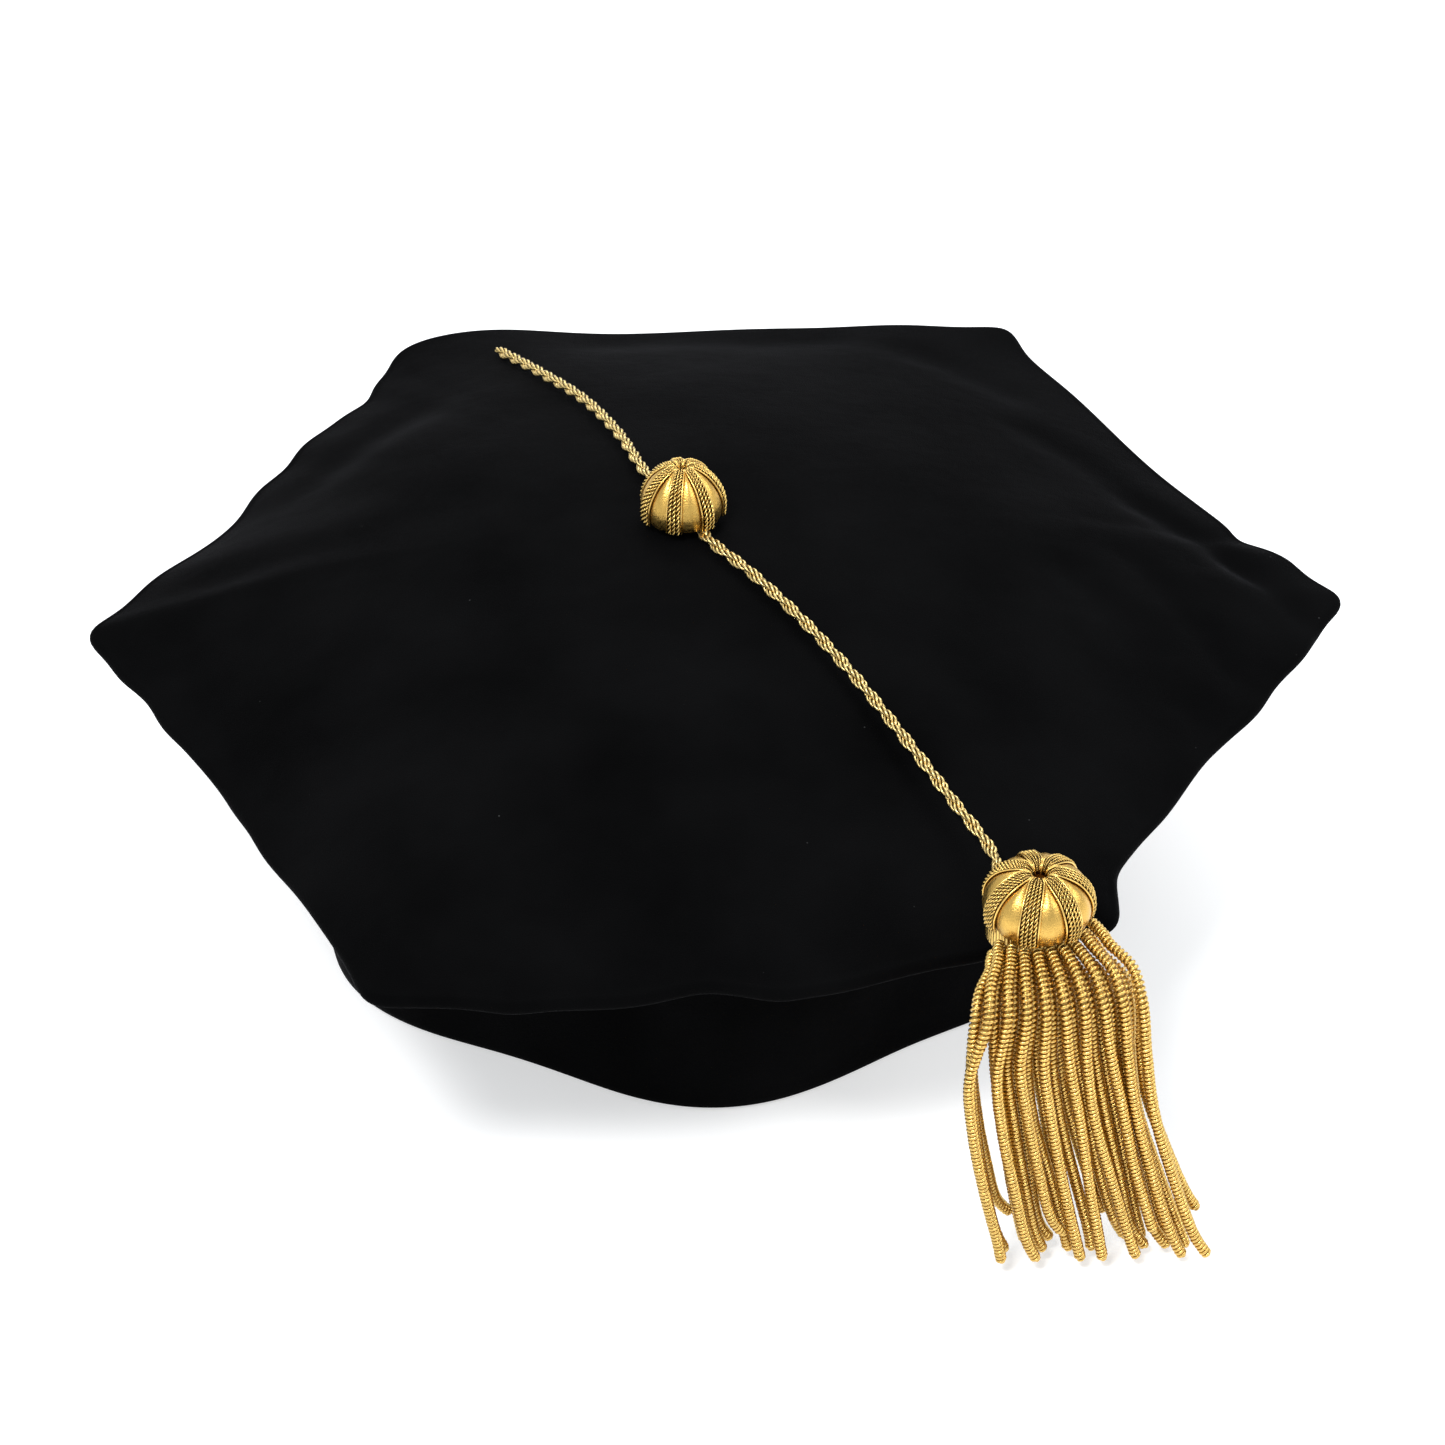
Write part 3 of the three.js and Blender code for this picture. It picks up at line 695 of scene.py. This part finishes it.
def lining_top():
    shares = np.concatenate([[0.012], np.linspace(0.04, 0.9, 44)])
    rows = crown_rows(LINING_DEPTH, shares)
    rows[..., 2] += 0.25 * np.sin(RIM_TURNS * 14) * smooth_steps(shares, 0.2, 0.8)[:, None]
    surface = Surface()
    surface.shell(rows[:, ::2], LINING, wrap_columns=True)
    made = surface.piece("lining_satin_top", "hat", lining, ["lining_top"])


def lining_side():
    shares = np.linspace(0.15, 1.0, 22)
    rows = side_rows(RIM_TURNS[::2], shares, LINING_EDGE_DROP, LINING_BAND_RISE, 3.0)
    surface = Surface()
    surface.shell(rows, LINING if signed_up(rows) > 0 else -LINING, wrap_columns=True)
    made = surface.piece("lining_satin_side", "hat", lining, ["lining_side"])


def sweatband():
    # The section: how far in from the headband's outside, and how high.
    outline = np.array([
        (4.7, 3), (4.7, 24), (4.7, 45), (4.9, 45.8), (5.2, 46), (5.6, 45.6), (5.9, 44.6), (5.7, 42),
        (5.7, 24), (5.7, 5), (5.8, 3), (5.5, 2.2), (5.2, 2), (4.9, 2.3), (4.7, 3),
    ], float)
    rows = evenly(outline, 1.2)[:-1]
    surface = Surface()
    points = band_points(full_turn(360), rows[:, :1], rows[:, 1:])
    surface.grid(points, wrap_rows=True, wrap_columns=True)
    surface.piece("sweatband_leather_strip", "hat", leather, ["sweatband"])

    surface = Surface()
    for height in (43.2, 4.6):
        for start in np.arange(0, 360, STITCH_STEP):
            angles = np.radians(np.linspace(start, start + STITCH_SPAN, 6))
            lift = np.sin(np.linspace(0, np.pi, 6))
            line = band_points(angles, 5.72 + 0.22 * lift, height)
            tube(surface, line, STITCH_RADIUS, sides=6, tip=0.25)
    surface.piece("sweatband_stitches", "hat", thread)


def inward(rows):
    """Positive where the grid's normals point to the headband's middle."""
    middle = np.array([*BAND, 30.0])
    return float((grid_normals(rows, False) * (middle - rows)).sum(-1).mean())


def back_elastic():
    first = math.radians(60)
    columns = np.linspace(first, first + math.pi / 3, 160)
    heights = np.linspace(17.2, 42.8, 18)
    ribs = 0.22 * np.abs(np.sin(np.linspace(0, 34 * np.pi, 160)))
    rows = band_points(columns, 3.0 + ribs, heights[:, None])
    surface = Surface()
    surface.shell(rows, -ELASTIC if inward(rows) > 0 else ELASTIC)
    surface.piece("back_elastic_strip", "hat", elastic, ["back_elastic"])


# ---------------------------------------------------------------- domed button and cap

# A dome's section, in radii: from the rim up over the shoulder and down into the pucker on top.
MERIDIAN = curve_through([
    (0.97, 0), (1, 0.3), (0.93, 0.6), (0.76, 0.88), (0.5, 1.07), (0.29, 1.13), (0.17, 1.07),
    (0.13, 0.93), (0.12, 0.72),
], 40)


def dome_frame(share):
    """The meridian's radius, height and outward normal, with share 0 at the rim and 1 at the top."""
    index = np.clip(np.asarray(share, float) * 240, 0, len(MERIDIAN) - 1)
    steps = np.arange(len(MERIDIAN))
    slope = unit(np.gradient(MERIDIAN, axis=0))
    out, height = (np.interp(index, steps, MERIDIAN[:, k]) for k in range(2))
    away, lift = np.interp(index, steps, slope[:, 1]), -np.interp(index, steps, slope[:, 0])
    return out, height, away, lift


def dome_points(dome, share, azimuth, raised):
    """Points of a dome; below share 0 it goes on straight down."""
    radius, tall, drawn_in = dome
    out, height, away, lift = dome_frame(share)
    reach = radius * out * (1 - drawn_in * height ** 2) + raised * away
    height = radius * (tall * height + np.minimum(share, 0)) + raised * lift
    return np.stack(np.broadcast_arrays(reach * np.cos(azimuth), reach * np.sin(azimuth), height), -1)


def strip_half_angle(share):
    """Half the angle that a braid strip takes up: nearly all of the dome's seventh near the top."""
    out = np.maximum(dome_frame(share)[0], 0.02)
    return np.minimum(STRIP_WIDTH / 2 * (0.62 + 0.38 * out) / out, 0.93 * SEVENTH)


def placed(points, position, tilt):
    """Points of a dome turned and moved to where it is in the frame."""
    axis = np.array([-math.sin(FAN_BEARING), math.cos(FAN_BEARING), 0])
    cross = np.cross(axis, points)
    along_axis = (points @ axis)[..., None] * axis
    turned = points * math.cos(tilt) + cross * math.sin(tilt) + along_axis * (1 - math.cos(tilt))
    return turned + position


def signed_out(points):
    """Positive where a dome's grid has its normals pointing outwards."""
    return float((grid_normals(points, False) * points).sum(-1).mean())


def satin_gores(prefix, dome, first, position, tilt, body):
    """The satin between the strips: a dome that swells in each gore, with small pleats on top."""
    azimuth = full_turn(560)
    shares = np.concatenate([np.linspace(-0.035, 0.8, 50), np.linspace(0.82, 1.3, 36)])[:, None]
    aside = np.abs((azimuth - first + SEVENTH) % (2 * SEVENTH) - SEVENTH)
    half = strip_half_angle(shares)
    gore = np.clip((aside - half) / np.maximum(SEVENTH - half, 0.02), 0, 1)
    gather = smooth_steps(shares, 0.7, 1.0)
    pleats = np.sin((azimuth - first) * 28 + 0.9 * np.sin((azimuth - first) * 4))
    turn_in = 1 - smooth_steps(shares, -0.035, 0.05)
    raised = (
        0.04 + 0.42 * np.sin(np.pi / 2 * gore) * (1 - gather) + 0.16 * gather * pleats
        + 0.05 * np.sin(azimuth * 3 + shares * 9) - 0.35 * turn_in
    )
    outer = dome_points(dome, shares, azimuth, raised)
    inner = dome_points(dome, np.linspace(0, 1.24, 24)[:, None], azimuth, -0.75)
    surface = Surface()
    surface.grid(placed(np.concatenate([inner[::-1], outer]), position, tilt), wrap_rows=True,
                 wrap_columns=True)
    surface.piece(prefix + "_satin_gores", body, gold_satin, [prefix + "_satin_cover"])


def braid_strips(prefix, dome, first, position, tilt, body, ropes):
    """The braid: on each strip a few two-ply ropes side by side, a cord along each edge, a backing."""
    surface = Surface()
    share = np.linspace(-0.045, 1.14, 90)
    half = strip_half_angle(share)
    width = 2 * dome[0] * np.maximum(dome_frame(share)[0], 0.03) * half
    size = width / width[0]
    places = (np.arange(ropes) - (ropes - 1) / 2) * 1.55 / ropes
    rope = 0.37 * width[0] / ropes
    gathered = 0.35 * smooth_steps(share, 0.72, 0.95)
    settled = 1 - 0.7 * smooth_steps(share, 0.9, 1.05)
    for strip in range(STRIPS):
        middle = first + strip * 2 * SEVENTH
        for column, place in enumerate(places):
            raised = (0.34 + rope * size) * settled - gathered * (column % 2)
            line = placed(dome_points(dome, share, middle + place * half, raised), position, tilt)
            for ply in (0, np.pi):
                wind(surface, line, rope * 0.57, rope * 0.5, BRAID_PITCH, ply + column, sides=7,
                     per_turn=12, start_tip=0.3, tip=0.3, size=size)
        for place in (-0.94, 0.94):
            line = dome_points(dome, share, middle + place * half, 0.52 * settled)
            radius = EDGE_CORD_RADIUS * (0.35 + 0.65 * size)
            tube(surface, placed(line, position, tilt), radius, sides=8, tip=0.2)
        across = np.linspace(-0.9, 0.9, 9)[None, :] * half[:, None] + middle
        # The backing has depth 0, the darkest gold: painted shade in the grooves between the ropes and
        # cords.
        backing = dome_points(dome, share[:, None], across, 0.26)
        if signed_out(backing) < 0:
            backing = backing[:, ::-1]
        surface.shell(placed(backing, position, tilt), BACKING, depth=0.0)
    surface.piece(prefix + "_braid_ropes", body, gold_braid, [prefix + "_braid_strips"])


# ---------------------------------------------------------------- cord and strands

def tassel_point(distance, height):
    """A point over the line from the button to the tassel."""
    return np.array([BUTTON[0] + distance * math.cos(TASSEL_BEARING),
                     BUTTON[1] + distance * math.sin(TASSEL_BEARING), height])


def fan_point(out, aside, height):
    """A point beside the tassel's cap: out along the fan's bearing, and aside from it."""
    point = tassel_point(CAP_DISTANCE, height)
    point[0] += out * math.cos(FAN_BEARING) - aside * math.sin(FAN_BEARING)
    point[1] += out * math.sin(FAN_BEARING) + aside * math.cos(FAN_BEARING)
    return point


def tassel_cord():
    points = []
    for x, y, above in CORD_ROUTE:
        distance = math.hypot(x - BUTTON[0], y - BUTTON[1])
        points.append((x, y, float(dome_height(distance)) + above))
    points.append(tassel_point(CORD_END_DISTANCE, CORD_END_HEIGHT))
    line = evenly(curve_through(points), 0.5)
    surface = Surface()
    for ply in (0, np.pi):
        middle = helix(line, PLY_OFFSET, -PLY_PITCH, ply)
        for phase in ply + full_turn(3):
            wind(surface, middle, SUBPLY_OFFSET, SUBPLY_RADIUS, SUBPLY_PITCH, phase, sides=8,
                 per_turn=20, start_tip=1.4, tip=0.5)
    made = surface.piece("tassel_cord_twist", "cord", gold_cord, ["tassel_cord"])


def strand_line(column, layer):
    """The middle line of a strand: level out of the heading, round a bend, then down to its tip."""
    place = column - (COLUMNS - 1) / 2
    across = column / (COLUMNS - 1)
    bunched = 1 - smooth_steps(column, 0.2, 2.4)  # the strands on the left hang one behind the other
    right = max(0, place / 4) ** 2  # the strands on the right leave the cap sideways
    apart = (SPREAD + 0.2 * across) * LAYER_SHIFT[layer] * (1 - bunched) - 0.8 * layer * bunched
    apart += COLUMN_NUDGE[column]

    # The tip: the outer layers hang further out, and some strands end higher than others.
    tip_aside = TIP_ASIDE + TIP_PITCH * place + apart
    tip_out = TIP_OUT + 3.6 * layer + 0.13 * (tip_aside + 10)
    raised = (SHORTER if (7 * column + 5 * layer) % 4 == 0 else 0) + 0.3 * (COLUMNS - 1 - column)
    tip_height = STRAND_DIAMETER / 2 + 0.3 + raised
    bulge = -2.6 * (1 - across) ** 2 - 2 * across ** 2 - 1.3 * across ** 5

    # The top: the strand starts about where it leaves the heading's side.
    radius = BEND_RADIUS + LAYER_STEP * layer
    top = BEND_HEIGHT + radius
    top_aside = STRAND_PITCH * place + LAYER_SHIFT[layer]
    clear = HEADING_RADIUS + STRAND_DIAMETER / 2 + 2 * GAP
    start = max(1, math.sqrt(max(0, clear**2 - top_aside**2)) - HEADING_BACK + 1) + 0.2 * place**2
    start -= 2.5 * right
    points = [
        fan_point(start, (0.82 + 0.16 * right) * top_aside, top),
        fan_point((start + BEND_OUT) / 2, (0.93 + 0.15 * right) * top_aside, top),
    ]
    for degrees in (0, 30, 60):
        turn = math.radians(degrees)
        wider = 1 + (SPREAD - 1) * (degrees / 90) ** 0.6 + 0.12 * right * math.cos(1.5 * turn)
        out, height = BEND_OUT + radius * math.sin(turn), BEND_HEIGHT + radius * math.cos(turn)
        points.append(fan_point(out, top_aside * wider, height))

    # The hanging length: it bulges aside, sways a little and hooks at the tip.
    bend_out, bend_aside = BEND_OUT + radius, STRAND_PITCH * place * SPREAD + apart
    random = np.random.default_rng(40 + 10 * layer + column)
    sway = (0.9 - 0.4 * bunched) * random.uniform(-1, 1)
    beat, hook = random.uniform(1.2, 2.0), random.uniform(-0.5, 2.2)
    for share in (0.1, 0.35, 0.65, 0.9, 1):
        height = BEND_HEIGHT + (tip_height - BEND_HEIGHT) * share
        aside = bend_aside + (tip_aside - bend_aside) * share
        aside += bulge * math.sin(math.pi * share**0.7) + sway * math.sin(beat * math.pi * share)
        aside += hook if share == 1 else 0
        points.append(fan_point(bend_out + (tip_out - bend_out) * share**1.5, aside, height))
    return evenly(curve_through(points), 0.5)


def bullion_strands():
    for layer in range(LAYERS):
        for column in range(COLUMNS):
            number = 1 + layer * COLUMNS + column
            random = np.random.default_rng(100 + number)
            line = strand_line(column, layer)
            surface = Surface()
            wind(surface, line, COIL_OFFSET, COIL_WIRE, COIL_PITCH, random.uniform(0, 6.28), sides=8,
                 per_turn=15, start_tip=0.4, tip=1.5, flatten=COIL_FLATTEN, rough=random)
            # The core under the coil has depth 0.4: painted shade between the wire's turns.
            tube(surface, evenly(line, 2.0), COIL_OFFSET, sides=8, tip=1.0, depth=0.4)
            made = surface.piece(f"bullion_coil_{number:02d}", "tassel", gold_bullion,
                                 [f"bullion_strand_{number:02d}"])


def heading():
    azimuth = full_turn(240)
    rows, painted_shades = [], []
    # The section of the roll: radius and height, with a low boss on top that sits in the cap.
    outline = np.array([
        (HEADING_RADIUS, 79.6), (HEADING_RADIUS, 82), (HEADING_RADIUS, 84), (HEADING_RADIUS, 86.2),
        (8.7, 86.6), (7.4, 86.6), (7.1, 87.1), (3, 87.1), (0.1, 87.1), (0.1, 79.3), (3, 79.2),
        (6, 79.3), (8.7, 79.2), (HEADING_RADIUS, 79.6),
    ], float)
    for radius, height in evenly(outline, 0.45)[:-1]:
        turns = np.sin(2 * np.pi * radius / 1.8 + azimuth)  # the turns of the rolled tape, end on
        ribs = np.sin(azimuth * 60)
        on_face = radius < 8.8
        reach = radius + (0.0 if on_face else 0.12) * ribs
        roll = (0.22 if on_face and radius > 0.6 else 0.0) * turns * (1 if height > 83 else -1)
        xyz = reach * np.cos(azimuth), reach * np.sin(azimuth), height + roll
        rows.append(np.stack(np.broadcast_arrays(*xyz), -1))
        # Painted shade: the grooves between the tape's turns and between its ribs get lower depths, so
        # the gold is darker there.
        painted_shades.append(0.4 + 0.3 * turns if on_face else 0.75 + 0.25 * ribs)
    middle = tassel_point(CAP_DISTANCE - HEADING_BACK, 0)
    surface = Surface()
    surface.grid(np.array(rows) + middle, wrap_rows=True, wrap_columns=True, depth=np.array(painted_shades))
    surface.piece("fringe_heading_tape", "tassel", gold_braid, ["fringe_heading"])


# ---------------------------------------------------------------- floor and light

def area_light(name, place, target, size, power):
    light = bpy.data.lights.new(name, "AREA")
    light.shape = "RECTANGLE"
    light.size, light.size_y = size
    light.energy = power
    made = bpy.data.objects.new(name, light)
    bpy.context.scene.collection.objects.link(made)
    made.location = place
    made.rotation_mode = "QUATERNION"
    made.rotation_quaternion = (Vector(target) - Vector(place)).to_track_quat("-Z", "Y")


def studio():
    scene = bpy.context.scene
    scene.view_settings.view_transform = "Standard"
    world = bpy.data.worlds.new("studio")
    scene.world = world
    world.use_nodes = True
    world.node_tree.nodes["Background"].inputs["Color"].default_value = (0.9, 0.95, 1, 1)
    world.node_tree.nodes["Background"].inputs["Strength"].default_value = 0.82
    mesh = bpy.data.meshes.new("floor")
    mesh.from_pydata([(-4, -3, 0), (4, -3, 0), (4, 6, 0), (-4, 6, 0)], [], [(0, 1, 2, 3)])
    mesh.materials.append(material("floor_white", (0.66, 0.66, 0.66), 0.85,
                                   Emission_Color=(1, 1, 1, 1), Emission_Strength=0.52))
    floor = bpy.data.objects.new("floor", mesh)
    scene.collection.objects.link(floor)
    area_light("key", (-0.5, -0.9, 1.5), (0, 0, 0.08), (0.45, 0.3), 20)
    area_light("fill", (1.2, -0.5, 1.1), (0, 0, 0.08), (0.8, 0.8), 7)
    area_light("back", (0.1, 1.4, 1.5), (0, 0.05, 0.1), (1.6, 0.6), 19)


# ---------------------------------------------------------------- the object

make_camera()
velvet = velvet_material()
# The first colour of each gold is its painted shade for the hollows, the second its bright base colour.
gold_satin = gold_material("gold_satin", (0.32, 0.16, 0.03), (0.68, 0.425, 0.105), 0.32, 2800, 0.00014)
gold_braid = gold_material("gold_braid", (0.06, 0.025, 0.003), (0.88, 0.6, 0.18), 0.25, 5000, 0.00005)
gold_cord = gold_material("gold_cord", (0.06, 0.025, 0.004), (0.74, 0.55, 0.22), 0.3, 4200, 0.00008)
gold_bullion = gold_material("bullion", (0.1, 0.045, 0.006), (0.74, 0.49, 0.145), 0.24, 4600, 0.0001)
lining = cloth_material("lining_satin", (0.006, 0.006, 0.008), (0.022, 0.022, 0.028), 0.38, 900, 0.00004)
elastic = cloth_material("elastic_weave", (0.01, 0.01, 0.01), (0.04, 0.04, 0.042), 0.7, 500, 0.0001)
thread = cloth_material("black_thread", (0.008, 0.008, 0.008), (0.05, 0.05, 0.05), 0.6, 1200, 0.00005)
buckram = cloth_material("buckram", (0.5, 0.46, 0.38), (0.8, 0.77, 0.7), 0.85, 420, 0.0002)
mould = cloth_material("pressed_mould", (0.1, 0.055, 0.015), (0.17, 0.1, 0.03), 0.8, 300, 0.0002)
leather = leather_material()

tassel_cord()
bullion_strands()
crown_top()
crown_interfacing()
crown_sides()
headband()
lining_top()
lining_side()
sweatband()
back_elastic()
button_place = tassel_point(0, BUTTON_BASE)
satin_gores("button", BUTTON_DOME, BUTTON_FIRST_STRIP, button_place, 0.0, "hat")
braid_strips("button", BUTTON_DOME, BUTTON_FIRST_STRIP, button_place, 0.0, "hat", 3)
cap_place = tassel_point(CAP_DISTANCE, CAP_BASE)
satin_gores("tassel_cap", CAP_DOME, CAP_FIRST_STRIP, cap_place, CAP_TILT, "tassel")
braid_strips("tassel_cap", CAP_DOME, CAP_FIRST_STRIP, cap_place, CAP_TILT, "tassel", 4)
heading()
paint(["headband_stiffener"], buckram)
paint(["button_anchor_disc"], lining)
paint(["button_mould", "tassel_cap_mould"], mould)
paint(["button_thread"], gold_cord)
studio()
